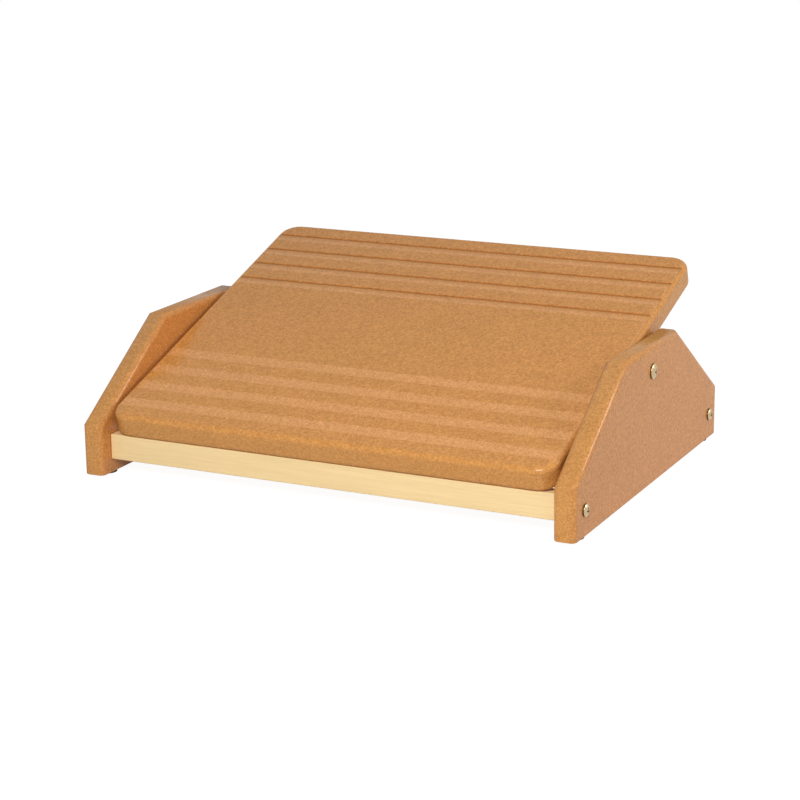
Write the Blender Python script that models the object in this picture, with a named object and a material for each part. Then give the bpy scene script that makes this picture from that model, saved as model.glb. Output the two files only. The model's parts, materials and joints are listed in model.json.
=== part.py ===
"""Tilting wooden footrest: two side panels of MDF joined by two pale wooden stretchers, and a grooved
tread board that rocks between the panels on two pivot screws.

Metres, +Z up. X runs across the footrest, -Y is its front, where the user sits, and the origin is on the
floor under its middle. The board lies front edge down, at rest on the front stretcher.
"""

import math

import bmesh
import bpy
from mathutils import Matrix, Vector

MM = 0.001

# Side panels: an outline with low upright ends, long slopes and a flat top
WIDTH = 450 * MM                    # over the outer faces of the two panels
PANEL_DEPTH = 340 * MM
PANEL_THICKNESS = 19 * MM
PANEL_HEIGHT = 118.5 * MM           # of the panel alone, without its feet
PANEL_END_HEIGHT = 44.5 * MM        # of the upright front and rear ends
PANEL_SLOPE_RUN = 109 * MM          # from an upright end to the flat top, measured along Y
PANEL_EDGE_ROUND = 5 * MM           # of the routed edges between outline and faces, all but the lower ones

# Feet: self-adhesive rubber discs
FOOT_DIAMETER = 16 * MM
FOOT_HEIGHT = 2.2 * MM
FOOT_CHAMFER = 0.4 * MM
FOOT_SETBACK = 22 * MM              # its centre from the panel's front or rear end

# Stretchers: square-cut bars between the panels
STRETCHER_HEIGHT = 22 * MM
STRETCHER_THICKNESS = 14 * MM
STRETCHER_LIFT = 12 * MM            # its lower face above the panels' lower edge
STRETCHER_SETBACK = 13.5 * MM       # its outer face from the panels' front or rear end
STRETCHER_EDGE_ROUND = 1 * MM

# Tread board
BOARD_DEPTH = 340 * MM
BOARD_THICKNESS = 22 * MM
BOARD_SIDE_GAP = 2.5 * MM           # between each side of the board and its panel
BOARD_CORNER_ROUND = 18 * MM
BOARD_EDGE_ROUND = 5 * MM
PIVOT_DROP = 21.5 * MM              # the pivot's axis below the panels' flat top, midway along it

# Grip grooves: two mirrored groups, each groove a steep outer wall and a long inner slope
GROOVES_A_GROUP = 4
GROOVE_FRONT_MARGIN = 17 * MM       # from the board's front edge to the outermost steep wall
GROOVE_REAR_MARGIN = 19.5 * MM      # the same from its rear edge
GROOVE_PITCH = 27 * MM
GROOVE_WIDTH = 13 * MM
GROOVE_DEPTH = 0.8 * MM

# Pivot: a machine screw through a flanged bush, into a threaded insert in the board's side
PIVOT_SCREW_DIAMETER = 6 * MM
PIVOT_SCREW_LENGTH = 40 * MM        # under the head
PIVOT_HEAD_DIAMETER = 13 * MM
BUSH_DIAMETER = 10 * MM
BUSH_FLANGE_DIAMETER = 14 * MM
BUSH_SETBACK = 0.5 * MM             # its outer end below the panel's outer face
INSERT_DIAMETER = 11 * MM
INSERT_LENGTH = 15 * MM
INSERT_RIDGES = 5
INSERT_RIDGE_HEIGHT = 0.8 * MM
INSERT_RIDGE_FOOT = 1 / 3           # where a ridge leaves the root, as a share of its pitch
INSERT_RIDGE_CREST = 2 / 3          # where it reaches the crest

# Stretcher screws: truss heads outside the panels, shanks in the stretchers' end grain
SCREW_DIAMETER = 6 * MM
SCREW_LENGTH = 50 * MM
SCREW_DROP = 1.2 * MM               # of the screws' axes below the middle of the stretchers
SCREW_HEAD_DIAMETER = 10.5 * MM
SCREW_TIP_LENGTH = 8 * MM
SCREW_TIP_DIAMETER = 1.5 * MM

# Both kinds of screw head
HEAD_HEIGHT = 3 * MM
HEAD_RIM = 1 * MM                   # upright edge of the head below its dome
RECESS_SPAN = 6.6 * MM              # of the cross recess, at the top
RECESS_BLADE = 1.4 * MM
RECESS_DEPTH = 2.6 * MM
RECESS_TAPER = 0.45                 # its size at the bottom, as a share of the top

# Clearances
SEAT_GAP = 0.3 * MM                 # between pieces that bear on each other
TURNING_GAP = 0.2 * MM              # between faces that turn past each other
SHANK_FIT = 0.06 * MM               # radial, between the pivot screw and its bush
PRESS_FIT = 0.15 * MM               # radial, round a piece fixed in its hole
HOLE_END_GAP = 2 * MM               # beyond the tip of a screw, in a blind hole
CUT_MARGIN = 1 * MM                 # by which a cutter passes the face it cuts

# Fineness of the round stretches
ROUND_STEPS = 4
CIRCLE_STEPS = 32
DOME_STEPS = 5
SMOOTH_BELOW = math.radians(40)
MERGE_WITHIN = 0.001 * MM
STEEPEST_TILT = math.radians(30)    # where the search for the board's rest starts
TILT_HALVINGS = 40

# Places that follow from the sizes
PANEL_LOW = FOOT_HEIGHT + SEAT_GAP
PANEL_MIDDLE_X = (WIDTH - PANEL_THICKNESS) / 2
PANEL_INNER_X = WIDTH / 2 - PANEL_THICKNESS
STRETCHER_Y = PANEL_DEPTH / 2 - STRETCHER_SETBACK - STRETCHER_THICKNESS / 2
STRETCHER_Z = PANEL_LOW + STRETCHER_LIFT + STRETCHER_HEIGHT / 2
SCREW_Z = STRETCHER_Z - SCREW_DROP
STRETCHER_LENGTH = 2 * (PANEL_INNER_X - SEAT_GAP)
PIVOT_Z = PANEL_LOW + PANEL_HEIGHT - PIVOT_DROP
BOARD_WIDTH = 2 * (PANEL_INNER_X - BOARD_SIDE_GAP)
BUSH_FLANGE_THICKNESS = BOARD_SIDE_GAP - SEAT_GAP - TURNING_GAP
SIDES = {"left": -1, "right": 1}
ENDS = {"front": -1, "rear": 1}


def distance_to_line(point, start, end):
    """How far a point lies from the stretch between two others."""
    along = end - start
    share = max(0, min(1, (point - start).dot(along) / along.length_squared))
    return (point - start - share * along).length


def clearance_at(tilt):
    """The gap left between the board's underside and the front stretcher at one tilt of the board.

    Seen from the side, each is a straight line swollen by the round of its edges.
    """
    turn = Matrix.Rotation(tilt, 2)
    underside = [turn @ Vector((end * (BOARD_DEPTH / 2 - BOARD_EDGE_ROUND),
                                BOARD_EDGE_ROUND - BOARD_THICKNESS / 2)) for end in ENDS.values()]
    half_top = STRETCHER_THICKNESS / 2 - STRETCHER_EDGE_ROUND
    top = STRETCHER_Z + STRETCHER_HEIGHT / 2 - STRETCHER_EDGE_ROUND - PIVOT_Z
    stretcher = [Vector((end * half_top - STRETCHER_Y, top)) for end in ENDS.values()]
    nearest = min([distance_to_line(point, *stretcher) for point in underside]
                  + [distance_to_line(point, *underside) for point in stretcher])
    return nearest - BOARD_EDGE_ROUND - STRETCHER_EDGE_ROUND


def rest_tilt():
    """The angle at which the board comes down on the front stretcher, found by halving."""
    level, steep = 0, STEEPEST_TILT
    for _ in range(TILT_HALVINGS):
        tilt = (level + steep) / 2
        if clearance_at(tilt) > SEAT_GAP:
            level = tilt
        else:
            steep = tilt
    return level


def clear_scene():
    for obj in list(bpy.data.objects):
        bpy.data.objects.remove(obj)


def linear(hex_colour):
    """The linear colour of an sRGB hex value, with alpha."""
    parts = [int(hex_colour[i:i + 2], 16) / 255 for i in (1, 3, 5)]
    return [c / 12.92 if c <= 0.04045 else ((c + 0.055) / 1.055) ** 2.4 for c in parts] + [1.0]


def make_material(name, hex_colour, roughness, metallic=0.0):
    material = bpy.data.materials.new(name)
    material.use_nodes = True
    shader = material.node_tree.nodes["Principled BSDF"]
    shader.inputs["Base Color"].default_value = linear(hex_colour)
    shader.inputs["Roughness"].default_value = roughness
    shader.inputs["Metallic"].default_value = metallic
    return material


def add_object(name, bm, material=None):
    """Turns the bmesh into an object whose round faces shade smooth."""
    bmesh.ops.recalc_face_normals(bm, faces=bm.faces)
    mesh = bpy.data.meshes.new(name)
    bm.to_mesh(mesh)
    bm.free()
    mesh.shade_smooth()
    mesh.set_sharp_from_angle(angle=SMOOTH_BELOW)
    if material:
        mesh.materials.append(material)
    obj = bpy.data.objects.new(name, mesh)
    bpy.context.scene.collection.objects.link(obj)
    return obj


def add_cutter(name, bm):
    cutter = add_object(name, bm)
    cutter.hide_render = True
    cutter.display_type = "WIRE"
    return cutter


def cut(obj, cutter):
    modifier = obj.modifiers.new(cutter.name, "BOOLEAN")
    modifier.operation = "DIFFERENCE"
    modifier.object = cutter


def prism(bm, outline, sweep):
    """Sweeps a face on an outline of (x, y, z) points along a vector, and returns the moved verts."""
    face = bm.faces.new([bm.verts.new(point) for point in outline])
    copy = bmesh.ops.extrude_face_region(bm, geom=[face])["geom"]
    moved = [item for item in copy if isinstance(item, bmesh.types.BMVert)]
    bmesh.ops.translate(bm, vec=sweep, verts=moved)
    return moved


def slab(outline, thickness):
    """A plate with square edges on an outline of (x, y) corners, centred on z = 0."""
    bm = bmesh.new()
    prism(bm, [(x, y, -thickness / 2) for x, y in outline], (0, 0, thickness))
    return bm


def upright_edges(bm):
    """The edges of a slab that run from one face to the other."""
    return [edge for edge in bm.edges if abs(edge.verts[0].co.z - edge.verts[1].co.z) > MERGE_WITHIN]


def round_edges(bm, edges, radius):
    bmesh.ops.bevel(bm, geom=edges, affect="EDGES", offset=radius, segments=ROUND_STEPS, profile=0.5)


def turned(profile, steps=CIRCLE_STEPS):
    """A body turned about Z from a closed profile of (radius, z) points; points on the axis are merged."""
    bm = bmesh.new()
    verts = [bm.verts.new((radius, 0, z)) for radius, z in profile]
    edges = [bm.edges.new(pair) for pair in zip(verts, verts[1:] + verts[:1])
             if pair[0].co.x > 0 or pair[1].co.x > 0]
    bmesh.ops.spin(bm, geom=verts + edges, cent=(0, 0, 0), axis=(0, 0, 1), angle=math.tau,
                   steps=steps, use_merge=True)
    bmesh.ops.remove_doubles(bm, verts=bm.verts, dist=MERGE_WITHIN)
    return bm


def rod(radius, length):
    """A plain cylinder about Z, centred on the origin."""
    return turned([(0, -length / 2), (radius, -length / 2), (radius, length / 2), (0, length / 2)])


def aim_along_x(bm, side=1):
    """Turns a body built about Z so that its top faces outward, towards +X or -X."""
    bmesh.ops.rotate(bm, verts=bm.verts, cent=(0, 0, 0), matrix=Matrix.Rotation(side * math.pi / 2, 3, "Y"))
    return bm


def through_hole(name, radius, y, z):
    """The cutter for one hole that goes through both side panels in line."""
    hole = add_cutter(name, aim_along_x(rod(radius, WIDTH + 2 * CUT_MARGIN)))
    hole.location = (0, y, z)
    return hole


def blind_hole(name, side, radius, mouth, floor):
    """The cutter for a hole along X on one side: mouth and floor are how far its ends lie from x = 0."""
    start = mouth + CUT_MARGIN
    hole = add_cutter(name, aim_along_x(rod(radius, start - floor), side))
    hole.location.x = side * (start + floor) / 2
    return hole


def make_panel(name, side, material, holes):
    """A side panel: its outline lies in the YZ plane, and its three holes go right through.

    The routed edges meet in a crisp mitre at the outline's corners, and the lower edges stay square.
    """
    end = PANEL_DEPTH / 2
    flat = end - PANEL_SLOPE_RUN
    outline = [(-end, 0), (end, 0), (end, PANEL_END_HEIGHT), (flat, PANEL_HEIGHT), (-flat, PANEL_HEIGHT),
               (-end, PANEL_END_HEIGHT)]
    bm = slab(outline, PANEL_THICKNESS)
    left_square = upright_edges(bm) + [edge for edge in bm.edges if not any(vert.co.y for vert in edge.verts)]
    routed = [edge for edge in bm.edges if edge not in left_square]
    round_edges(bm, routed, PANEL_EDGE_ROUND)
    # The slab's x, y and z become the panel's Y, Z and X
    upright = Matrix(((0, 0, 1), (1, 0, 0), (0, 1, 0)))
    bmesh.ops.transform(bm, matrix=upright.to_4x4(), verts=bm.verts)
    panel = add_object(name, bm, material)
    panel.location = (side * PANEL_MIDDLE_X, 0, PANEL_LOW)
    for hole in holes:
        cut(panel, hole)


def make_foot(name, side, end, material):
    radius = FOOT_DIAMETER / 2
    foot = add_object(name, turned([
        (0, 0), (radius - FOOT_CHAMFER, 0), (radius, FOOT_CHAMFER), (radius, FOOT_HEIGHT), (0, FOOT_HEIGHT),
    ]), material)
    foot.location = (side * PANEL_MIDDLE_X, end * (PANEL_DEPTH / 2 - FOOT_SETBACK), 0)


def make_stretcher(end_name, end, material):
    half_length = STRETCHER_LENGTH / 2
    half_height = STRETCHER_HEIGHT / 2
    bm = bmesh.new()
    bmesh.ops.create_cube(bm, size=2)
    bmesh.ops.scale(bm, vec=(half_length, STRETCHER_THICKNESS / 2, half_height), verts=bm.verts)
    arrises = [edge for edge in bm.edges if abs(edge.verts[0].co.x - edge.verts[1].co.x) > half_length]
    round_edges(bm, arrises, STRETCHER_EDGE_ROUND)
    stretcher = add_object(end_name + "_stretcher", bm, material)
    stretcher.location = (0, end * STRETCHER_Y, STRETCHER_Z)
    screw_tip = WIDTH / 2 + SEAT_GAP - SCREW_LENGTH
    for side_name, side in SIDES.items():
        pilot = blind_hole(f"{side_name}_{end_name}_pilot_hole", side, SCREW_DIAMETER / 2 + PRESS_FIT,
                           STRETCHER_LENGTH / 2, screw_tip - HOLE_END_GAP)
        pilot.location.yz = (end * STRETCHER_Y, SCREW_Z)
        cut(stretcher, pilot)


def dome(radius, low, high):
    """Profile points of a shallow dome, from its rim to the point before its top."""
    rise = high - low
    ball = (radius ** 2 + rise ** 2) / (2 * rise)
    spread = math.asin(radius / ball)
    angles = [spread * (1 - step / DOME_STEPS) for step in range(DOME_STEPS)]
    return [(ball * math.sin(angle), high - ball * (1 - math.cos(angle))) for angle in angles]


def screw_blank(tip, shank_radius, head_radius):
    """A truss-head screw about Z, its head's underside at z = 0, its shank below and its tip as given."""
    return turned(tip + [(shank_radius, 0), (head_radius, 0)]
                  + dome(head_radius, HEAD_RIM, HEAD_HEIGHT) + [(0, HEAD_HEIGHT)])


def cross_recess():
    """The cutter for the cross recess: a plus-shaped outline that tapers as it goes down."""
    blade, span = RECESS_BLADE / 2, RECESS_SPAN / 2
    quarter = [(span, -blade), (span, blade), (blade, blade)]
    outline = []
    for turn in range(4):
        spin = Matrix.Rotation(turn * math.pi / 2, 2)
        outline += [spin @ Vector(point) for point in quarter]
    bm = bmesh.new()
    top = [(point.x, point.y, HEAD_HEIGHT + CUT_MARGIN) for point in outline]
    floor = prism(bm, top, (0, 0, -RECESS_DEPTH - CUT_MARGIN))
    bmesh.ops.scale(bm, vec=(RECESS_TAPER, RECESS_TAPER, 1), verts=floor)
    return bm


def make_screw(name, side, blank, place, material, parent=None):
    """A screw with its head outward on one side, and the recess cut in its head."""
    screw = add_object(name, aim_along_x(blank, side), material)
    recess = add_cutter(name + "_recess", aim_along_x(cross_recess(), side))
    for obj in (screw, recess):
        obj.location = place
        obj.parent = parent
    cut(screw, recess)


def make_stretcher_screw(name, side, end, material):
    """A wood screw with a tapered point, into the end grain of a stretcher."""
    radius = SCREW_DIAMETER / 2
    point = [(0, -SCREW_LENGTH), (SCREW_TIP_DIAMETER / 2, -SCREW_LENGTH),
             (radius, SCREW_TIP_LENGTH - SCREW_LENGTH)]
    blank = screw_blank(point, radius, SCREW_HEAD_DIAMETER / 2)
    make_screw(name, side, blank, (side * (WIDTH / 2 + SEAT_GAP), end * STRETCHER_Y, SCREW_Z), material)


def make_pivot_screw(name, side, material, pivot):
    """A machine screw with a flat end, which turns with the board."""
    radius = PIVOT_SCREW_DIAMETER / 2
    flat_end = [(0, -PIVOT_SCREW_LENGTH), (radius, -PIVOT_SCREW_LENGTH)]
    blank = screw_blank(flat_end, radius, PIVOT_HEAD_DIAMETER / 2)
    make_screw(name, side, blank, (side * (WIDTH / 2 + TURNING_GAP), 0, 0), material, pivot)


def make_bush(name, side, material):
    """A flanged bush: the sleeve lines the panel's hole, and the flange spaces the board off the panel."""
    bore = PIVOT_SCREW_DIAMETER / 2 + SHANK_FIT
    flange = BUSH_FLANGE_DIAMETER / 2
    sleeve = BUSH_DIAMETER / 2
    shoulder = -SEAT_GAP
    bush = add_object(name, aim_along_x(turned([
        (bore, shoulder - BUSH_FLANGE_THICKNESS), (flange, shoulder - BUSH_FLANGE_THICKNESS),
        (flange, shoulder), (sleeve, shoulder), (sleeve, PANEL_THICKNESS - BUSH_SETBACK),
        (bore, PANEL_THICKNESS - BUSH_SETBACK),
    ]), side), material)
    bush.location = (side * PANEL_INNER_X, 0, PIVOT_Z)


def make_insert(name, side, material, pivot):
    """A threaded insert: ridges stand for the coarse outer thread that grips the board."""
    bore = PIVOT_SCREW_DIAMETER / 2 + PRESS_FIT
    crest = INSERT_DIAMETER / 2
    root = crest - INSERT_RIDGE_HEIGHT
    pitch = INSERT_LENGTH / INSERT_RIDGES
    profile = [(bore, -INSERT_LENGTH)]
    for ridge in range(INSERT_RIDGES):
        low = -INSERT_LENGTH + ridge * pitch
        profile += [(root, low), (root, low + pitch * INSERT_RIDGE_FOOT),
                    (crest, low + pitch * INSERT_RIDGE_CREST)]
    profile += [(root, 0), (bore, 0)]
    insert = add_object(name, aim_along_x(turned(profile), side), material)
    insert.location = (side * (BOARD_WIDTH / 2 - SEAT_GAP), 0, 0)
    insert.parent = pivot


def groove_cutter():
    """Prisms across the whole board, in the board's frame, one for each grip groove."""
    top = BOARD_THICKNESS / 2
    over = top + CUT_MARGIN
    run_out = GROOVE_WIDTH * (1 + CUT_MARGIN / GROOVE_DEPTH)
    half_width = BOARD_WIDTH / 2 + CUT_MARGIN
    bm = bmesh.new()
    margins = {"front": GROOVE_FRONT_MARGIN, "rear": GROOVE_REAR_MARGIN}
    for end_name, end in ENDS.items():
        for index in range(GROOVES_A_GROUP):
            wall = BOARD_DEPTH / 2 - margins[end_name] - index * GROOVE_PITCH
            section = [(wall, over), (wall, top - GROOVE_DEPTH), (wall - run_out, over)]
            prism(bm, [(-half_width, end * y, z) for y, z in section], (2 * half_width, 0, 0))
    return bm


def make_board(name, material, pivot):
    """The tread board, centred on the pivot's axis and tilted with it."""
    half_x, half_y = BOARD_WIDTH / 2, BOARD_DEPTH / 2
    bm = slab([(-half_x, -half_y), (half_x, -half_y), (half_x, half_y), (-half_x, half_y)], BOARD_THICKNESS)
    round_edges(bm, upright_edges(bm), BOARD_CORNER_ROUND)
    uprights = upright_edges(bm)
    round_edges(bm, [edge for edge in bm.edges if edge not in uprights], BOARD_EDGE_ROUND)
    board = add_object(name, bm, material)
    screw_tip = WIDTH / 2 + TURNING_GAP - PIVOT_SCREW_LENGTH
    insert_end = half_x - SEAT_GAP - INSERT_LENGTH
    cutters = [add_cutter("grooves", groove_cutter())]
    for side_name, side in SIDES.items():
        cutters.append(blind_hole(side_name + "_insert_hole", side, INSERT_DIAMETER / 2 + PRESS_FIT, half_x,
                                  min(screw_tip, insert_end) - HOLE_END_GAP))
    board.parent = pivot
    for cutter in cutters:
        cutter.parent = pivot
        cut(board, cutter)


def build_footrest():
    clear_scene()
    side_mdf = make_material("side_mdf", "#C68F5E", 0.42)
    tread_mdf = make_material("tread_mdf", "#CB9259", 0.42)
    pale_wood = make_material("pale_wood", "#EBCB93", 0.5)
    plated_steel = make_material("plated_steel", "#BEA884", 0.25, 1.0)
    nylon = make_material("nylon", "#262422", 0.45)
    brass = make_material("brass", "#C7A45A", 0.3, 1.0)
    rubber = make_material("rubber", "#1C1B1A", 0.8)

    pivot = bpy.data.objects.new("tilt_pivot", None)
    pivot.location = (0, 0, PIVOT_Z)
    pivot.rotation_euler = (rest_tilt(), 0, 0)
    bpy.context.scene.collection.objects.link(pivot)

    panel_holes = [through_hole("bush_hole", BUSH_DIAMETER / 2 + PRESS_FIT, 0, PIVOT_Z)]
    for end_name, end in ENDS.items():
        make_stretcher(end_name, end, pale_wood)
        panel_holes.append(through_hole(end_name + "_screw_hole", SCREW_DIAMETER / 2 + PRESS_FIT,
                                        end * STRETCHER_Y, SCREW_Z))
    for side_name, side in SIDES.items():
        make_panel(side_name + "_side_panel", side, side_mdf, panel_holes)
        make_bush(side_name + "_pivot_bush", side, nylon)
        make_insert(side_name + "_threaded_insert", side, brass, pivot)
        make_pivot_screw(side_name + "_pivot_screw", side, plated_steel, pivot)
        for end_name, end in ENDS.items():
            make_foot(f"{side_name}_{end_name}_foot", side, end, rubber)
            make_stretcher_screw(f"{side_name}_{end_name}_stretcher_screw", side, end, plated_steel)
    make_board("tread_board", tread_mdf, pivot)


build_footrest()
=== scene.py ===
"""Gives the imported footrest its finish: lacquered MDF, planed wood, plated screws, and a white studio.

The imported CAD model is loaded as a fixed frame. Each piece below stands for one CAD node, sits where that
node sits, and rides on its body, so the board and what is fastened to it turn together on the pivot.
Lengths are in metres, +X is to the user's right, -Y to the front, +Z up.
"""

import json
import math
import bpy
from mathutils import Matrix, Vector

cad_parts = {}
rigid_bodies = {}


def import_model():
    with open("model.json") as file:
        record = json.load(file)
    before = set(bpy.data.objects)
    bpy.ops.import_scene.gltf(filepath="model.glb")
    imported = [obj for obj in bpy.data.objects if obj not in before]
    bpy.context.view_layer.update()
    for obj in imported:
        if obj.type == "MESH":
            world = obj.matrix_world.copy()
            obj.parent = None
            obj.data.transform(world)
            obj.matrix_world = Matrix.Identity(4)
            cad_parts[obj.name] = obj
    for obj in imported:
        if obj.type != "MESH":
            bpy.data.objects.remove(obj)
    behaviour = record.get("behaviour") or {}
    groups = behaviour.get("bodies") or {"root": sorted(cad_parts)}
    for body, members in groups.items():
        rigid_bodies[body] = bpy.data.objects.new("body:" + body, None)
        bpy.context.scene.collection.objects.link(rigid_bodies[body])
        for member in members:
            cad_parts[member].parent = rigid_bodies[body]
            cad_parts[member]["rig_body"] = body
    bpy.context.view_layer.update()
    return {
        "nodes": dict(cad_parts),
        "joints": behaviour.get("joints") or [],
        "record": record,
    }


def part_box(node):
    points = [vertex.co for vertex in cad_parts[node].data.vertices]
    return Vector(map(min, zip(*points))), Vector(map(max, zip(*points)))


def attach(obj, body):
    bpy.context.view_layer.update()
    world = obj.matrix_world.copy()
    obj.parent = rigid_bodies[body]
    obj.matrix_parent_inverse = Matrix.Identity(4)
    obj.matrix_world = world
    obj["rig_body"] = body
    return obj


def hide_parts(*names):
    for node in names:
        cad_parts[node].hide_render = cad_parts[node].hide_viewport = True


bl_info = {
    "name": "Tilting Wooden Footrest",
    "version": (1, 0, 0),
    "blender": (4, 5, 0),
    "location": "View3D > Sidebar > Footrest",
    "description": "Builds the finished pieces of a tilting wooden footrest and the studio round it",
    "category": "Object",
}

import bmesh
import bpy
from bpy.props import FloatProperty, FloatVectorProperty, IntProperty, PointerProperty
from mathutils import Matrix, Vector

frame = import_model()

MM = 0.001

SIDES = {"left": -1, "right": 1}
ENDS = {"front": -1, "rear": 1}

# The board turns about the joint's axis, and its tread's normal gives the angle that it rests at.
PIVOT = Vector(frame["joints"][0]["pos_m"])
TREAD_NORMAL = next(m["axis"] for m in frame["record"]["mounts"] if m["name"] == "tread_top")
REST_TILT = math.atan2(-TREAD_NORMAL[1], TREAD_NORMAL[2])
BOARD_PLACE = Matrix.Translation(PIVOT) @ Matrix.Rotation(REST_TILT, 4, "X")

LENGTHWAYS = Vector((1, 0, 0))

# Points nearer to each other than this are at the same place, and a cutter reaches this far past a surface.
SAME_PLACE = 0.01 * MM
OVERRUN = 1 * MM

# Steps round a routed edge, a turned piece, a drilled hole, a screw's dome and the edge below that dome.
ROUTED_STEPS = 8
TURNED_STEPS = 64
DRILLED_STEPS = 48
DOME_STEPS = 12
RIM_STEPS = 5

# Faces that meet at a sharper angle than this have a crease between them.
CREASE = math.radians(35)

# What the bottom of a cross recess keeps of its depth, span and blade at the mouth.
RECESS_TAPER = (1, 0.45, 0.6)

# Mottling sinks blue more than red, because wood darkens towards brown.
MOTTLE_SHADE = (0.85, 1.0, 1.25)

# What the painted sheen on a machined slope adds to the board's colour, and what the painted shade in a
# groove's corner leaves of it.
PAINTED_SLOPE_SHEEN = (0.09, 0.06, 0.045)
PAINTED_CORNER_SHADE = (0.72, 0.62, 0.5)

KEY_LIGHT = {"at": (0.4, -1.35, 1.0), "aim": (0, 0, 0.06), "size": 0.6}
SIDE_LIGHT = {"at": (1.05, 0.44, 0.6), "aim": (0.2, 0, 0.06), "size": 0.42}


def linear(hex_code):
    """An sRGB hex colour as linear red, green and blue."""
    channels = (int(hex_code[i : i + 2], 16) / 255 for i in (0, 2, 4))
    return tuple(c / 12.92 if c <= 0.04045 else ((c + 0.055) / 1.055) ** 2.4 for c in channels)


def per_metre(size_mm):
    """The texture scale at which one feature measures so many millimetres, on coordinates in metres."""
    return 1 / (size_mm * MM)


def add_node(tree, kind, inputs=None, **settings):
    """Adds a node with its settings. A socket given for an input is linked, and any other value is set."""
    node = tree.nodes.new("ShaderNode" + kind)
    for name, value in settings.items():
        setattr(node, name, value)
    for name, value in (inputs or {}).items():
        if isinstance(value, bpy.types.NodeSocket):
            tree.links.new(value, node.inputs[name])
        else:
            node.inputs[name].default_value = value
    return node


def new_material(name):
    """An empty material and its node tree."""
    material = bpy.data.materials.new(name)
    material.use_nodes = True
    material.node_tree.nodes.clear()
    return material, material.node_tree


class FootrestSizes(bpy.types.PropertyGroup):
    """Sizes of the finished pieces that the CAD boxes don't give."""

    knee_depth: FloatProperty(
        name="Flat Top",
        description="From the middle of a side panel to the knee where its top starts to slope",
        default=0.061,
        unit="LENGTH",
    )
    panel_end_height: FloatProperty(
        name="End Height",
        description="Height above the floor at which a panel's slope meets its upright end",
        default=0.047,
        unit="LENGTH",
    )
    panel_round: FloatProperty(
        name="Panel Edge",
        description="Radius of the routed edges of a panel, all but the lower ones",
        default=0.005,
        unit="LENGTH",
    )
    board_size: FloatVectorProperty(
        name="Board",
        description="Width, depth and thickness of the tread board",
        default=(0.407, 0.340, 0.022),
        unit="LENGTH",
    )
    board_corner: FloatProperty(
        name="Board Corner",
        description="Radius of the board's four corners in plan",
        default=0.018,
        unit="LENGTH",
    )
    board_round: FloatProperty(
        name="Board Edge",
        description="Radius along the edges of the board",
        default=0.005,
        unit="LENGTH",
    )
    groove_count: IntProperty(
        name="Grooves",
        description="Number of grip grooves in each group",
        default=4,
    )
    groove_pitch: FloatProperty(
        name="Groove Pitch",
        description="From one grip groove to the next",
        default=0.027,
        unit="LENGTH",
    )
    groove_width: FloatProperty(
        name="Groove Width",
        description="Width of a grip groove's slope",
        default=0.013,
        unit="LENGTH",
    )
    groove_depth: FloatProperty(
        name="Groove Depth",
        description="Depth of a grip groove at its wall",
        default=0.0008,
        unit="LENGTH",
    )
    front_margin: FloatProperty(
        name="Front Margin",
        description="From the board's front edge to the wall of the first groove",
        default=0.017,
        unit="LENGTH",
    )
    rear_margin: FloatProperty(
        name="Rear Margin",
        description="From the board's rear edge to the wall of the last groove",
        default=0.0195,
        unit="LENGTH",
    )
    stretcher_round: FloatProperty(
        name="Stretcher Arris",
        description="Radius along the stretchers' edges",
        default=0.001,
        unit="LENGTH",
    )
    shank_radius: FloatProperty(
        name="Shank Radius",
        description="Radius of the screws' shanks",
        default=0.003,
        unit="LENGTH",
    )
    head_height: FloatProperty(
        name="Head Height",
        description="Height of a screw's head, from its underside to the top of its dome",
        default=0.003,
        unit="LENGTH",
    )
    head_rim: FloatProperty(
        name="Head Rim",
        description="Height of the upright edge of a screw's head, below its dome",
        default=0.001,
        unit="LENGTH",
    )
    recess_span: FloatProperty(
        name="Recess Span",
        description="Length of each arm pair of the cross recess, at its mouth",
        default=0.0066,
        unit="LENGTH",
    )
    recess_blade: FloatProperty(
        name="Recess Blade",
        description="Width of the arms of the cross recess, at its mouth",
        default=0.0014,
        unit="LENGTH",
    )
    recess_depth: FloatProperty(
        name="Recess Depth",
        description="Depth of the cross recess below the top of the dome",
        default=0.0026,
        unit="LENGTH",
    )
    tip_length: FloatProperty(
        name="Screw Point",
        description="Length of the point of a stretcher screw",
        default=0.008,
        unit="LENGTH",
    )
    tip_radius: FloatProperty(
        name="Screw Point Radius",
        description="Radius at the very end of a stretcher screw",
        default=0.00075,
        unit="LENGTH",
    )
    bush_radius: FloatProperty(
        name="Bush Sleeve",
        description="Outer radius of the sleeve of a pivot bush",
        default=0.005,
        unit="LENGTH",
    )
    bush_bore: FloatProperty(
        name="Bush Bore",
        description="Radius of the bore that the pivot screw turns in",
        default=0.00306,
        unit="LENGTH",
    )
    bush_flange: FloatProperty(
        name="Bush Flange",
        description="Thickness of the flange that keeps the board off the panel",
        default=0.002,
        unit="LENGTH",
    )
    ridge_count: IntProperty(
        name="Insert Ridges",
        description="Number of thread ridges on a threaded insert",
        default=5,
    )
    ridge_height: FloatProperty(
        name="Insert Ridge Height",
        description="Height of an insert's thread above its root",
        default=0.0008,
        unit="LENGTH",
    )
    foot_chamfer: FloatProperty(
        name="Foot Chamfer",
        description="Bevel round the lower edge of a foot",
        default=0.0004,
        unit="LENGTH",
    )
    hole_gap: FloatProperty(
        name="Hole Gap",
        description="Room all round between a fixed piece and the hole it sits in",
        default=0.00015,
        unit="LENGTH",
    )
    hole_end_gap: FloatProperty(
        name="Hole End Gap",
        description="Room in a blind hole beyond the end of the piece in it",
        default=0.002,
        unit="LENGTH",
    )


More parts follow.
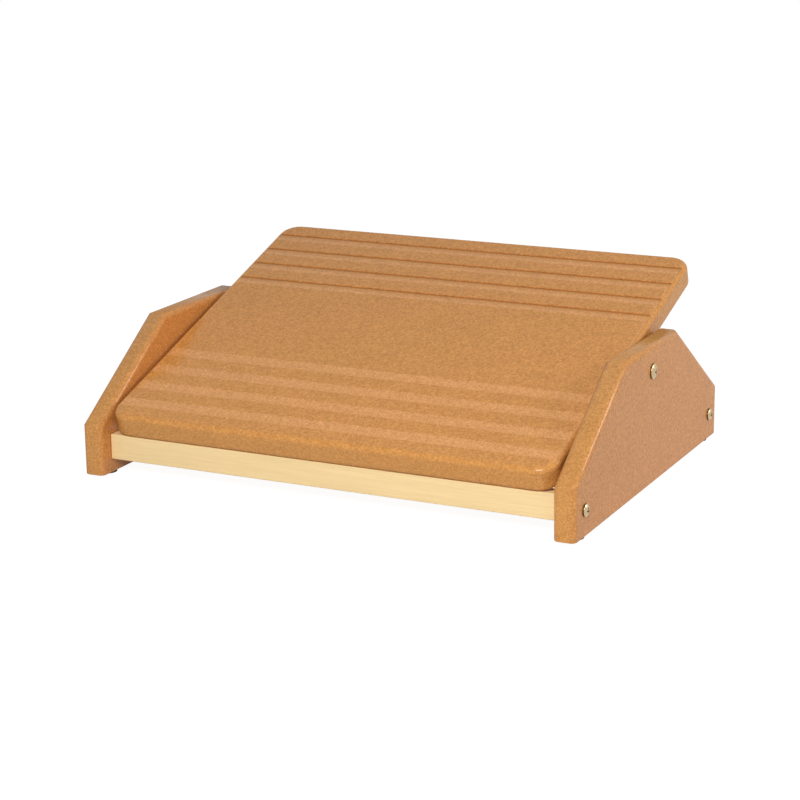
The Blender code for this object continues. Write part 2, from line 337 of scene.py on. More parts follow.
class FootrestColours(bpy.types.PropertyGroup):
    """Colours of the finishes."""

    mdf_sheet: FloatVectorProperty(
        name="MDF Sheet",
        description="Lacquered face of the MDF sheet",
        default=linear("CC8A4A"),
        subtype="COLOR",
    )
    mdf_tread: FloatVectorProperty(
        name="MDF Tread",
        description="Lacquered face of the tread board",
        default=linear("D1904B"),
        subtype="COLOR",
    )
    mdf_edge: FloatVectorProperty(
        name="MDF Edge",
        description="Sawn edge of the sheet, where the lacquer has soaked in",
        default=linear("CA8E4C"),
        subtype="COLOR",
    )
    pale_wood: FloatVectorProperty(
        name="Pale Wood",
        description="Planed hardwood of the stretchers",
        default=linear("F0D39C"),
        subtype="COLOR",
    )
    zinc: FloatVectorProperty(
        name="Zinc Plate",
        description="Yellow-passivated zinc plating on the screws",
        default=linear("BEA884"),
        subtype="COLOR",
    )
    nylon: FloatVectorProperty(
        name="Nylon",
        description="Black nylon of the bushes",
        default=linear("262422"),
        subtype="COLOR",
    )
    brass: FloatVectorProperty(
        name="Brass",
        description="Unplated brass of the threaded inserts",
        default=linear("D9B25F"),
        subtype="COLOR",
    )
    rubber: FloatVectorProperty(
        name="Rubber",
        description="Black rubber of the feet",
        default=linear("1C1B1A"),
        subtype="COLOR",
    )


class FootrestStage(bpy.types.PropertyGroup):
    """The studio: the photograph's camera, and lights at which a colour renders about as it is written."""

    azimuth: FloatProperty(
        name="Camera Azimuth",
        description="Angle of the camera round to the right of the footrest's front",
        default=math.radians(26.31149),
        subtype="ANGLE",
    )
    elevation: FloatProperty(
        name="Camera Elevation",
        description="Angle of the camera above the floor",
        default=math.radians(15.36116),
        subtype="ANGLE",
    )
    roll: FloatProperty(
        name="Camera Roll",
        description="Turn of the camera about its line of sight",
        default=math.radians(-0.68068),
        subtype="ANGLE",
    )
    distance: FloatProperty(
        name="Camera Distance",
        description="From the camera to the point that it looks at",
        default=1.9203025,
        unit="LENGTH",
    )
    target: FloatVectorProperty(
        name="Camera Target",
        description="Point in the middle of the picture",
        default=(-0.00321745, -0.00839498, 0.05179397),
        subtype="TRANSLATION",
    )
    lens: FloatProperty(
        name="Lens",
        description="Focal length in millimetres on a 36 mm sensor",
        default=99.4177,
    )
    key_power: FloatProperty(
        name="Key Light",
        description="Power of the softbox in front of the footrest",
        default=20.0,
        unit="POWER",
    )
    side_power: FloatProperty(
        name="Side Light",
        description="Power of the softbox on the right, behind the footrest",
        default=5.0,
        unit="POWER",
    )
    fill: FloatProperty(
        name="Fill",
        description="Strength of the even light from all round",
        default=0.2,
    )


def block(low, high):
    """A plain block between two corners."""
    bm = bmesh.new()
    size = Matrix.Diagonal((*(high - low), 1))
    bmesh.ops.create_cube(bm, size=1, matrix=Matrix.Translation((low + high) / 2) @ size)
    return bm


def round_edges(bm, edges, radius, segments):
    """Rounds these edges to one radius."""
    bmesh.ops.bevel(
        bm,
        geom=list(edges),
        offset=radius,
        offset_type="OFFSET",
        affect="EDGES",
        segments=segments,
        profile=0.5,
        material=-1,
        clamp_overlap=True,
    )


def edges_along(bm, axis):
    """The edges that run along one axis: 0 for X, 1 for Y, 2 for Z."""
    found = []
    for edge in bm.edges:
        run = edge.verts[1].co - edge.verts[0].co
        if abs(run[axis]) > 0.999 * run.length:
            found.append(edge)
    return found


def edges_at(bm, axis, places):
    """The edges that lie wholly at one of these places on an axis."""
    return [
        edge
        for edge in bm.edges
        if any(all(abs(v.co[axis] - place) < SAME_PLACE for v in edge.verts) for place in places)
    ]


def slice_off(bm, point, normal):
    """Cuts away what lies beyond a plane and closes the cut."""
    geometry = bm.verts[:] + bm.edges[:] + bm.faces[:]
    cut = bmesh.ops.bisect_plane(bm, geom=geometry, plane_co=point, plane_no=normal, clear_outer=True)
    edges = [g for g in cut["geom_cut"] if isinstance(g, bmesh.types.BMEdge)]
    bmesh.ops.edgeloop_fill(bm, edges=edges)


def turned(profile, segments=TURNED_STEPS):
    """A solid of revolution about X, from points given as place along the axis and radius."""
    bm = bmesh.new()
    points = [bm.verts.new((x, radius, 0)) for x, radius in profile]
    for i in range(len(points) - 1):
        bm.edges.new((points[i], points[i + 1]))
    bmesh.ops.spin(
        bm,
        geom=bm.verts[:] + bm.edges[:],
        cent=(0, 0, 0),
        axis=LENGTHWAYS,
        angle=math.tau,
        steps=segments,
        use_merge=True,
    )
    bmesh.ops.remove_doubles(bm, verts=bm.verts, dist=0.001 * MM)
    return bm


def mesh_object(bm, name):
    """A mesh object with smooth faces and outward normals, made from a bmesh that is then freed."""
    bmesh.ops.recalc_face_normals(bm, faces=bm.faces)
    for face in bm.faces:
        face.smooth = True
    mesh = bpy.data.meshes.new(name)
    bm.to_mesh(mesh)
    bm.free()
    made = bpy.data.objects.new(name, mesh)
    bpy.context.scene.collection.objects.link(made)
    return made


def cut_out(piece, *cutters):
    """Takes the cutters' shapes out of a piece for good, and removes them."""
    for cutter in cutters:
        modifier = piece.modifiers.new("Cut", "BOOLEAN")
        modifier.operation = "DIFFERENCE"
        modifier.solver = "EXACT"
        modifier.object = cutter
    bpy.context.view_layer.update()
    evaluated = piece.evaluated_get(bpy.context.evaluated_depsgraph_get())
    whole = piece.data
    piece.data = bpy.data.meshes.new_from_object(evaluated)
    piece.data.name = whole.name
    piece.modifiers.clear()
    bpy.data.meshes.remove(whole)
    for cutter in cutters:
        mesh = cutter.data
        bpy.data.objects.remove(cutter)
        bpy.data.meshes.remove(mesh)


def drill(x_from, x_to, y, z, radius):
    """A cutter for a round hole along X."""
    bm = turned([(x_from, 0), (x_from, radius), (x_to, radius), (x_to, 0)], DRILLED_STEPS)
    bmesh.ops.translate(bm, verts=bm.verts, vec=(0, y, z))
    return mesh_object(bm, "drill")


def on_the_pivot(bm, sign):
    """Moves a body turned about X onto the pivot's axis, mirrored for the left-hand side."""
    bmesh.ops.scale(bm, verts=bm.verts, vec=(sign, 1, 1))
    bmesh.ops.translate(bm, verts=bm.verts, vec=(0, PIVOT.y, PIVOT.z))
    return bm


def mark(piece, name, share_at):
    """Stores a share from 0 to 1 at each point of a piece, for its material to read."""
    attribute = piece.data.attributes.new(name, "FLOAT", "POINT")
    for vertex, item in zip(piece.data.vertices, attribute.data):
        item.value = max(0.0, min(1.0, share_at(vertex.co)))


def box_middle(node):
    """The middle of a CAD node's box."""
    low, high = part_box(node)
    return (low + high) / 2


def settle(piece, node, material, soften=0.0):
    """Dresses a piece, puts it in its CAD node's stead and lets it ride on that node's body.

    Creases are either broken by a fine bevel or kept sharp.
    """
    piece.data.materials.clear()
    piece.data.materials.append(material)
    if soften:
        bevel = piece.modifiers.new("Soft edges", "BEVEL")
        bevel.limit_method = "ANGLE"
        bevel.angle_limit = CREASE
        bevel.width = soften
        bevel.segments = 2
        bevel.profile = 0.5
    else:
        piece.data.set_sharp_from_angle(angle=CREASE)
    piece.modifiers.new("Even shading", "WEIGHTED_NORMAL").keep_sharp = True
    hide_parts(node)
    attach(piece, frame["nodes"][node]["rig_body"])


def mottled(tree, coordinates, colour, layers):
    """Lightens and darkens a colour by layers of noise, each a feature size in mm, a strength and a seed."""
    for size_mm, strength, seed in layers:
        noise = add_node(
            tree,
            "TexNoise",
            {"Vector": coordinates, "W": seed, "Scale": per_metre(size_mm), "Detail": 3.0, "Roughness": 0.6},
            noise_dimensions="4D",
        )
        # The noise keeps almost wholly between 0.3 and 0.7, and that span is spread over the full strength.
        shade = add_node(
            tree,
            "MapRange",
            {
                6: noise.outputs[0],
                7: (0.3, 0.3, 0.3),
                8: (0.7, 0.7, 0.7),
                9: [1 - strength * channel for channel in MOTTLE_SHADE],
                10: [1 + strength * channel for channel in MOTTLE_SHADE],
            },
            data_type="FLOAT_VECTOR",
        )
        colour = add_node(
            tree,
            "VectorMath",
            {0: colour, 1: shade.outputs[1]},
            operation="MULTIPLY",
        ).outputs[0]
    return colour


def lacquered_mdf(name, sheet, edge, grooves=None):
    """Medium-density fibreboard, sanded, edge-rounded and sprayed with a satin clear lacquer.

    The eye sees a plain warm brown with short fibre flecks in it, a soft sheen, and sawn edges that are
    more golden.
    """
    material, tree = new_material(name)
    coordinates = add_node(tree, "TexCoord").outputs["Object"]
    if grooves:
        coordinates = add_node(
            tree,
            "Mapping",
            {"Vector": coordinates, "Location": PIVOT, "Rotation": (REST_TILT, 0, 0)},
            vector_type="TEXTURE",
        ).outputs[0]
    sawn = add_node(tree, "Attribute", attribute_name="sawn_edge").outputs["Fac"]
    colour = add_node(
        tree,
        "Mix",
        {0: sawn, 6: (*sheet, 1), 7: (*edge, 1)},
        data_type="RGBA",
    ).outputs[2]
    if grooves:
        # The grooves get a painted sheen on their slopes and a painted shade in their corners.
        colour = groove_tones(tree, coordinates, colour, grooves)
    # Fibre flecks of 1 to 2 mm, bundles of 3 mm and the slow drift of the lacquer's thickness.
    colour = mottled(tree, coordinates, colour, ((1.7, 0.3, 0.0), (3.0, 0.12, 4.0), (28.0, 0.03, 9.0)))
    fibre = add_node(tree, "TexNoise", {"Vector": coordinates, "Scale": per_metre(0.9), "Detail": 2.0})
    peel = add_node(tree, "Bump", {"Height": fibre.outputs[0], "Strength": 0.12, "Distance": 0.05 * MM})
    shader = add_node(
        tree,
        "BsdfPrincipled",
        {
            "Base Color": colour,
            "Roughness": 0.5,
            "IOR": 1.5,
            "Specular IOR Level": 0.0,
            "Coat Weight": 0.5,
            "Coat Roughness": 0.2,
            "Normal": peel.outputs[0],
        },
    )
    add_node(tree, "OutputMaterial", {"Surface": shader.outputs[0]})
    return material


def groove_tones(tree, coordinates, colour, sizes):
    """Paints a sheen on the machined slopes of the grooves and a shade in the corner at the wall of each rear
    groove.
    """
    place = add_node(tree, "SeparateXYZ", {0: coordinates})
    depth = add_node(
        tree,
        "Math",
        {0: sizes.board_size[2] / 2, 1: place.outputs[2]},
        operation="SUBTRACT",
    )
    # The tones stop short of the board's rounded sides and of its plain front and rear margins.
    across = add_node(tree, "Math", {0: place.outputs[0]}, operation="ABSOLUTE")
    along = add_node(tree, "Math", {0: place.outputs[1]}, operation="ABSOLUTE")
    inside_width = add_node(
        tree,
        "Math",
        {0: across.outputs[0], 1: sizes.board_size[0] / 2 - 0.7 * sizes.board_round},
        operation="LESS_THAN",
    )
    inside_depth = add_node(
        tree,
        "Math",
        {0: along.outputs[0], 1: sizes.board_size[1] / 2 - 0.8 * sizes.front_margin},
        operation="LESS_THAN",
    )
    inside = add_node(
        tree,
        "Math",
        {0: inside_width.outputs[0], 1: inside_depth.outputs[0]},
        operation="MULTIPLY",
    )
    # In the front group the whole slope has the painted sheen. In the rear group it turns from painted sheen
    # to painted shade at its wall.
    rear = add_node(tree, "Math", {0: place.outputs[1], 1: 0.0}, operation="GREATER_THAN")
    rear_here = add_node(tree, "Math", {0: rear.outputs[0], 1: inside.outputs[0]}, operation="MULTIPLY")
    # Each tone starts and is full at a share of the groove's depth.
    slope, fading, dark = (
        add_node(
            tree,
            "MapRange",
            {
                0: depth.outputs[0],
                1: start * sizes.groove_depth,
                2: full * sizes.groove_depth,
                4: where.outputs[0],
            },
        )
        for start, full, where in ((0.02, 0.15, inside), (0.3, 0.65, rear_here), (0.7, 0.85, rear_here))
    )
    light = add_node(
        tree,
        "Math",
        {0: slope.outputs[0], 1: fading.outputs[0]},
        operation="SUBTRACT",
        use_clamp=True,
    )
    # Painted sheen on the slopes, and painted shade in the rear grooves' corners.
    lightened = add_node(tree, "VectorMath", {0: colour, 1: PAINTED_SLOPE_SHEEN}, operation="ADD")
    darkened = add_node(tree, "VectorMath", {0: colour, 1: PAINTED_CORNER_SHADE}, operation="MULTIPLY")
    with_light = add_node(
        tree,
        "Mix",
        {0: light.outputs[0], 6: colour, 7: lightened.outputs[0]},
        data_type="RGBA",
    )
    return add_node(
        tree,
        "Mix",
        {0: dark.outputs[0], 6: with_light.outputs[2], 7: darkened.outputs[0]},
        data_type="RGBA",
    ).outputs[2]


def planed_hardwood(colour):
    """A pale close-grained hardwood such as rubberwood or ramin, planed and left unlacquered.

    The eye sees a light cream wood with faint lengthwise streaks and short pores, and almost no gloss.
    """
    material, tree = new_material("Planed pale hardwood")
    coordinates = add_node(tree, "TexCoord").outputs["Object"]
    # The grain runs along X, so the pattern is stretched along it.
    grain_way = add_node(tree, "Mapping", {"Vector": coordinates, "Scale": (0.03, 1, 1)}).outputs[0]
    toned = mottled(tree, grain_way, tuple(colour), ((0.7, 0.05, 0.0), (2.6, 0.05, 3.0), (9.0, 0.04, 7.0)))
    pores = add_node(tree, "TexNoise", {"Vector": grain_way, "Scale": per_metre(0.5), "Detail": 2.0})
    relief = add_node(tree, "Bump", {"Height": pores.outputs[0], "Strength": 0.2, "Distance": 0.05 * MM})
    shader = add_node(
        tree,
        "BsdfPrincipled",
        {"Base Color": toned, "Roughness": 0.62, "IOR": 1.5, "Normal": relief.outputs[0]},
    )
    add_node(tree, "OutputMaterial", {"Surface": shader.outputs[0]})
    return material


def zinc_plated_steel(colour):
    """Cold-headed steel screws with yellow-passivated zinc plating.

    The eye sees a warm straw-grey metal, bright but not a mirror, with small cloudy patches, and a recess and
    rim that are darkened by painted shade.
    """
    name = "Yellow-passivated zinc-plated steel"
    if name in bpy.data.materials:
        return bpy.data.materials[name]
    material, tree = new_material(name)
    coordinates = add_node(tree, "TexCoord").outputs["Object"]
    toned = mottled(tree, coordinates, tuple(colour), ((1.5, 0.06, 0.0), (4.0, 0.05, 2.0)))
    painted_shade = add_node(tree, "Attribute", attribute_name="dull_plating").outputs["Fac"]
    # The recess and the rim are darkened to painted shade.
    shadowed = add_node(tree, "VectorMath", {0: toned, "Scale": 0.14}, operation="SCALE").outputs[0]
    plated = add_node(tree, "Mix", {0: painted_shade, 6: toned, 7: shadowed}, data_type="RGBA").outputs[2]
    cloud = add_node(tree, "TexNoise", {"Vector": coordinates, "Scale": per_metre(1.2), "Detail": 3.0})
    rough = add_node(tree, "MapRange", {0: cloud.outputs[0], 1: 0.3, 2: 0.7, 3: 0.2, 4: 0.32})
    shader = add_node(
        tree,
        "BsdfPrincipled",
        {"Base Color": plated, "Metallic": 1.0, "Roughness": rough.outputs[0]},
    )
    add_node(tree, "OutputMaterial", {"Surface": shader.outputs[0]})
    return material


def moulded_nylon(colour):
    """Black polyamide, injection moulded.

    The eye sees a near-black plastic with a soft gloss and a faint cloudy grain.
    """
    material, tree = new_material("Moulded black nylon")
    coordinates = add_node(tree, "TexCoord").outputs["Object"]
    toned = mottled(tree, coordinates, tuple(colour), ((2.0, 0.08, 0.0), (8.0, 0.06, 5.0)))
    cloud = add_node(tree, "TexNoise", {"Vector": coordinates, "Scale": per_metre(0.6), "Detail": 2.0})
    texture = add_node(tree, "Bump", {"Height": cloud.outputs[0], "Strength": 0.1, "Distance": 0.02 * MM})
    shader = add_node(
        tree,
        "BsdfPrincipled",
        {
            "Base Color": toned,
            "Roughness": 0.42,
            "IOR": 1.53,
            "Normal": texture.outputs[0],
        },
    )
    add_node(tree, "OutputMaterial", {"Surface": shader.outputs[0]})
    return material


def turned_brass(colour):
    """Free-cutting brass, turned on a lathe.

    The eye sees a warm yellow metal with fine rings round its axis.
    """
    material, tree = new_material("Turned brass")
    coordinates = add_node(tree, "TexCoord").outputs["Object"]
    toned = mottled(tree, coordinates, tuple(colour), ((1.5, 0.05, 0.0),))
    place = add_node(tree, "SeparateXYZ", {0: coordinates})
    # Tool marks are about 0.1 mm apart; they are drawn at 0.35 mm so that they show.
    rings = add_node(
        tree,
        "TexNoise",
        {"W": place.outputs[0], "Scale": per_metre(0.35)},
        noise_dimensions="1D",
    )
    marks = add_node(tree, "Bump", {"Height": rings.outputs[0], "Strength": 0.3, "Distance": 0.02 * MM})
    shader = add_node(
        tree,
        "BsdfPrincipled",
        {"Base Color": toned, "Metallic": 1.0, "Roughness": 0.3, "Normal": marks.outputs[0]},
    )
    add_node(tree, "OutputMaterial", {"Surface": shader.outputs[0]})
    return material


def black_rubber(colour):
    """A die-cut disc of black rubber.

    The eye sees a dull near-black with a fine pitted grain.
    """
    material, tree = new_material("Matt black rubber")
    coordinates = add_node(tree, "TexCoord").outputs["Object"]
    toned = mottled(tree, coordinates, tuple(colour), ((0.8, 0.12, 0.0), (3.0, 0.10, 6.0)))
    pits = add_node(tree, "TexNoise", {"Vector": coordinates, "Scale": per_metre(0.4), "Detail": 3.0})
    grain = add_node(tree, "Bump", {"Height": pits.outputs[0], "Strength": 0.4, "Distance": 0.05 * MM})
    shader = add_node(
        tree,
        "BsdfPrincipled",
        {"Base Color": toned, "Roughness": 0.75, "IOR": 1.52, "Normal": grain.outputs[0]},
    )
    add_node(tree, "OutputMaterial", {"Surface": shader.outputs[0]})
    return material


class FOOTREST_OT_side_panels(bpy.types.Operator):
    """Cuts the two side panels from sheet, slopes their tops and rounds their edges"""

    bl_idname = "footrest.side_panels"
    bl_label = "Side Panels"

    def execute(self, context):
        sizes, colours = context.scene.footrest_sizes, context.scene.footrest_colours
        mdf = lacquered_mdf("Lacquered MDF side panel", colours.mdf_sheet, colours.mdf_edge)
        for side in SIDES:
            node = side + "_side_panel"
            low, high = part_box(node)
            bm = block(low, high)
            for sign in ENDS.values():
                knee = Vector((0, sign * sizes.knee_depth, high.z))
                toe = Vector((0, sign * high.y, sizes.panel_end_height))
                run = toe - knee
                slice_off(bm, knee, (0, -sign * run.z, abs(run.y)))
            # The router stops at the lower edges, and elsewhere its rounds meet in a crisp mitre.
            lower = edges_at(bm, 2, (low.z,))
            routed = [edge for edge in edges_at(bm, 0, (low.x, high.x)) if edge not in lower]
            round_edges(bm, routed, sizes.panel_round, ROUTED_STEPS)
            panel = mesh_object(bm, node + "_visual")
            start, end = low.x - OVERRUN, high.x + OVERRUN
            holes = [drill(start, end, PIVOT.y, PIVOT.z, sizes.bush_radius + sizes.hole_gap)]
            for place in ENDS:
                screw = box_middle(f"{side}_{place}_stretcher_screw")
                radius = sizes.shank_radius + sizes.hole_gap
                holes.append(drill(start, end, screw.y, screw.z, radius))
            cut_out(panel, *holes)
            middle_x, half = (low.x + high.x) / 2, (high.x - low.x) / 2
            mark(panel, "sawn_edge", lambda co: (half - abs(co.x - middle_x)) / sizes.panel_round)
            settle(panel, node, mdf, soften=0.4 * MM)
        return {"FINISHED"}


class FOOTREST_OT_tread_board(bpy.types.Operator):
    """Makes the tread board, with its grip grooves and the holes for the threaded inserts"""

    bl_idname = "footrest.tread_board"
    bl_label = "Tread Board"

    def execute(self, context):
        sizes, colours = context.scene.footrest_sizes, context.scene.footrest_colours
        mdf = lacquered_mdf("Lacquered MDF tread", colours.mdf_tread, colours.mdf_edge, grooves=sizes)
        half = Vector(sizes.board_size) / 2
        bm = block(-half, half)
        round_edges(bm, edges_along(bm, 2), sizes.board_corner, 2 * ROUTED_STEPS)
        round_edges(bm, edges_at(bm, 2, (-half.z, half.z)), sizes.board_round, ROUTED_STEPS)
        board = mesh_object(bm, "tread_board_visual")
        cutters = []
        for end, margin in ((ENDS["front"], sizes.front_margin), (ENDS["rear"], sizes.rear_margin)):
            for i in range(sizes.groove_count):
                wall = end * (half.y - margin - i * sizes.groove_pitch)
                cutters.append(self.groove(half, wall, end, sizes))
        insert_low, insert_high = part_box("right_threaded_insert")
        screw_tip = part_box("right_pivot_screw")[0].x
        depth = min(screw_tip, insert_low.x) - sizes.hole_end_gap
        radius = (insert_high.z - insert_low.z) / 2 + sizes.hole_gap
        for side in SIDES.values():
            cutters.append(drill(side * depth, side * (half.x + OVERRUN), 0, 0, radius))
        cut_out(board, *cutters)
        mark(board, "sawn_edge", lambda co: (half.z - abs(co.z)) / sizes.board_round)
        board.data.transform(BOARD_PLACE)
        settle(board, "tread_board", mdf)
        return {"FINISHED"}

    def groove(self, half, wall, end, sizes):
        """A cutter for one groove: a wedge that is deepest at its wall and runs out towards the middle."""
        tool_round = 0.4 * MM
        inner = wall - end * sizes.groove_width
        low = Vector((-half.x - OVERRUN, min(wall, inner), half.z - sizes.groove_depth))
        high = Vector((half.x + OVERRUN, max(wall, inner), half.z + 2 * OVERRUN))
        bm = block(low, high)
        thin_edge = [v for v in bm.verts if abs(v.co.y - inner) < SAME_PLACE and v.co.z < half.z]
        bmesh.ops.translate(bm, verts=thin_edge, vec=(0, 0, sizes.groove_depth))
        corner = [edge for edge in edges_at(bm, 1, (wall,)) if all(v.co.z < half.z for v in edge.verts)]
        round_edges(bm, corner, tool_round, 3)
        return mesh_object(bm, "groove")


class FOOTREST_OT_stretchers(bpy.types.Operator):
    """Planes the two stretchers and drills their ends for the screws"""

    bl_idname = "footrest.stretchers"
    bl_label = "Stretchers"

    def execute(self, context):
        sizes, colours = context.scene.footrest_sizes, context.scene.footrest_colours
        wood = planed_hardwood(colours.pale_wood)
        for end in ENDS:
            node = end + "_stretcher"
            low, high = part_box(node)
            bm = block(low, high)
            round_edges(bm, bm.edges[:], sizes.stretcher_round, ROUTED_STEPS // 2)
            stretcher = mesh_object(bm, node + "_visual")
            holes = []
            screw_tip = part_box(f"right_{end}_stretcher_screw")[0].x
            radius = sizes.shank_radius + sizes.hole_gap
            for side, sign in SIDES.items():
                screw = box_middle(f"{side}_{end}_stretcher_screw")
                floor = sign * (screw_tip - sizes.hole_end_gap)
                holes.append(drill(floor, sign * (high.x + OVERRUN), screw.y, screw.z, radius))
            cut_out(stretcher, *holes)
            settle(stretcher, node, wood)
        return {"FINISHED"}


class FOOTREST_OT_feet(bpy.types.Operator):
    """Makes the four rubber feet"""

    bl_idname = "footrest.feet"
    bl_label = "Feet"

    def execute(self, context):
        rubber = black_rubber(context.scene.footrest_colours.rubber)
        chamfer = context.scene.footrest_sizes.foot_chamfer
        for side in SIDES:
            for end in ENDS:
                node = f"{side}_{end}_foot"
                low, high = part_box(node)
                height, radius = high.z - low.z, (high.x - low.x) / 2
                bevel = [(0, radius - chamfer), (chamfer, radius)]
                bm = turned([(0, 0), *bevel, (height, radius), (height, 0)])
                upright = Matrix.Rotation(-math.pi / 2, 4, "Y")
                middle = box_middle(node)
                place = Matrix.Translation((middle.x, middle.y, low.z)) @ upright
                bmesh.ops.transform(bm, verts=bm.verts, matrix=place)
                foot = mesh_object(bm, node + "_visual")
                settle(foot, node, rubber, soften=0.15 * MM)
        return {"FINISHED"}


def screw_profile(length, head_radius, tip, sizes):
    """Half the outline of a truss-head screw along X, its head's underside at 0 and its shank towards -X.

    The tip gives the length and the end radius of its point.
    """
    tip_length, tip_radius = tip
    crown = sizes.head_height - sizes.head_rim
    sphere = (head_radius**2 + crown**2) / (2 * crown)
    dome = []
    for i in range(1, DOME_STEPS):
        radius = head_radius * math.cos(math.pi / 2 * i / DOME_STEPS)
        dome.append(Vector((sizes.head_height - sphere + math.sqrt(sphere**2 - radius**2), radius)))
    # The edge between rim and dome is rounded over, as cold heading leaves it.
    start = Vector((sizes.head_rim / 2, head_radius))
    corner = Vector((sizes.head_rim, head_radius))
    edge = []
    for i in range(RIM_STEPS):
        share = i / RIM_STEPS
        edge.append(start.lerp(corner, share).lerp(corner.lerp(dome[0], share), share))
    shank = [
        (-length, 0),
        (-length, tip_radius),
        (-length + tip_length, sizes.shank_radius),
        (0, sizes.shank_radius),
        (0, head_radius),
    ]
    return [*shank, *edge, *dome, (sizes.head_height, 0)]


def recess_cutters(sizes):
    """The two arm pairs of a cross recess, each of which narrows towards its bottom."""
    cutters = []
    top, span, blade = sizes.head_height, sizes.recess_span / 2, sizes.recess_blade / 2
    for turn in (0, math.pi / 2):
        low = Vector((top - sizes.recess_depth, -span, -blade))
        high = Vector((top + OVERRUN, span, blade))
        bm = block(low, high)
        bottom = [v for v in bm.verts if v.co.x < top]
        bmesh.ops.scale(bm, verts=bottom, vec=RECESS_TAPER)
        bmesh.ops.rotate(bm, verts=bm.verts, cent=(0, 0, 0), matrix=Matrix.Rotation(turn, 3, "X"))
        cutters.append(mesh_object(bm, "recess"))
    return cutters


def make_screw(node, tip, turn, sizes, material):
    """Makes a truss-head screw that fills its CAD node's box, with its cross recess turned by an angle."""
    low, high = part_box(node)
    middle = box_middle(node)
    length = high.x - low.x - sizes.head_height
    head_radius = (high.z - low.z) / 2
    screw = mesh_object(turned(screw_profile(length, head_radius, tip, sizes)), node + "_visual")
    cut_out(screw, *recess_cutters(sizes))
    crown = sizes.head_height - sizes.head_rim
    rim_top = sizes.head_rim / 2

    def shaded(co):
        """1 in the recess and on the head's upright rim, where shade is painted, and 0 on the dome."""
        if co.x < 0:
            return 0
        if co.yz.length < sizes.recess_span / 2:
            return (sizes.head_height - crown * (co.yz.length / head_radius) ** 2 - co.x) / sizes.head_rim
        return 1 - (co.x - rim_top) / rim_top

    # Paints shade into the cross recess and onto the head's upright rim.
    mark(screw, "dull_plating", shaded)
    outward = 1 if middle.x > 0 else -1
    underside = outward * (max(abs(low.x), abs(high.x)) - sizes.head_height)
    facing = Matrix.Rotation(0 if outward > 0 else math.pi, 4, "Z")
    place = Matrix.Translation((underside, middle.y, middle.z))
    screw.data.transform(place @ facing @ Matrix.Rotation(turn, 4, "X"))
    settle(screw, node, material, soften=0.06 * MM)


class FOOTREST_OT_stretcher_screws(bpy.types.Operator):
    """Makes the four screws that hold the stretchers between the panels"""

    bl_idname = "footrest.stretcher_screws"
    bl_label = "Stretcher Screws"

    def execute(self, context):
        sizes = context.scene.footrest_sizes
        steel = zinc_plated_steel(context.scene.footrest_colours.zinc)
        for side in SIDES:
            for end in ENDS:
                node = f"{side}_{end}_stretcher_screw"
                make_screw(node, (sizes.tip_length, sizes.tip_radius), math.radians(8), sizes, steel)
        return {"FINISHED"}


class FOOTREST_OT_pivot_screws(bpy.types.Operator):
    """Makes the two screws that the board turns on"""

    bl_idname = "footrest.pivot_screws"
    bl_label = "Pivot Screws"

    def execute(self, context):
        sizes = context.scene.footrest_sizes
        steel = zinc_plated_steel(context.scene.footrest_colours.zinc)
        chamfer = 0.5 * MM
        for side in SIDES:
            make_screw(side + "_pivot_screw", (chamfer, sizes.shank_radius - chamfer), 0, sizes, steel)
        return {"FINISHED"}


class FOOTREST_OT_pivot_bushes(bpy.types.Operator):
    """Makes the flanged bushes that line the panels at the pivot and keep the board off them"""

    bl_idname = "footrest.pivot_bushes"
    bl_label = "Pivot Bushes"

    def execute(self, context):
        sizes = context.scene.footrest_sizes
        nylon = moulded_nylon(context.scene.footrest_colours.nylon)
        low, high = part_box("right_pivot_bush")
        flange_radius = (high.z - low.z) / 2
        profile = [
            (low.x, sizes.bush_bore),
            (low.x, flange_radius),
            (low.x + sizes.bush_flange, flange_radius),
            (low.x + sizes.bush_flange, sizes.bush_radius),
            (high.x, sizes.bush_radius),
            (high.x, sizes.bush_bore),
            (low.x, sizes.bush_bore),
        ]
        for side, sign in SIDES.items():
            node = side + "_pivot_bush"
            bush = mesh_object(on_the_pivot(turned(profile), sign), node + "_visual")
            settle(bush, node, nylon, soften=0.2 * MM)
        return {"FINISHED"}


class FOOTREST_OT_threaded_inserts(bpy.types.Operator):
    """Makes the threaded inserts that take the pivot screws in the board's sides"""

    bl_idname = "footrest.threaded_inserts"
    bl_label = "Threaded Inserts"

    def execute(self, context):
        sizes = context.scene.footrest_sizes
        brass = turned_brass(context.scene.footrest_colours.brass)
        low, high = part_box("right_threaded_insert")
        crest = (high.z - low.z) / 2
        root = crest - sizes.ridge_height
        bore = sizes.shank_radius + sizes.hole_gap
        pitch = (high.x - low.x) / sizes.ridge_count
        profile = [(low.x, bore), (low.x, root)]
        for i in range(sizes.ridge_count):
            foot = low.x + i * pitch
            profile += [(foot + pitch / 3, root), (foot + pitch / 2, crest), (foot + pitch * 2 / 3, root)]
        profile += [(high.x, root), (high.x, bore), (low.x, bore)]
        for side, sign in SIDES.items():
            node = side + "_threaded_insert"
            insert = mesh_object(on_the_pivot(turned(profile), sign), node + "_visual")
            settle(insert, node, brass, soften=0.08 * MM)
        return {"FINISHED"}


def seen_directly(tree):
    """1 for camera, mirror and see-through rays, and 0 for the light that falls on the object."""
    path = add_node(tree, "LightPath")
    glossy = add_node(
        tree,
        "Math",
        {0: path.outputs["Is Camera Ray"], 1: path.outputs["Is Glossy Ray"]},
        operation="MAXIMUM",
    )
    return add_node(
        tree,
        "Math",
        {0: glossy.outputs[0], 1: path.outputs["Is Transmission Ray"]},
        operation="MAXIMUM",
    ).outputs[0]


def add_softbox(name, at, aim, size, power):
    """A square area light that faces a point."""
    light = bpy.data.lights.new(name, "AREA")
    light.shape = "SQUARE"
    light.size = size
    light.energy = power
    lamp = bpy.data.objects.new(name, light)
    lamp.location = at
    lamp.rotation_mode = "QUATERNION"
    lamp.rotation_quaternion = (Vector(aim) - Vector(at)).to_track_quat("-Z", "Y")
    bpy.context.scene.collection.objects.link(lamp)
    return lamp


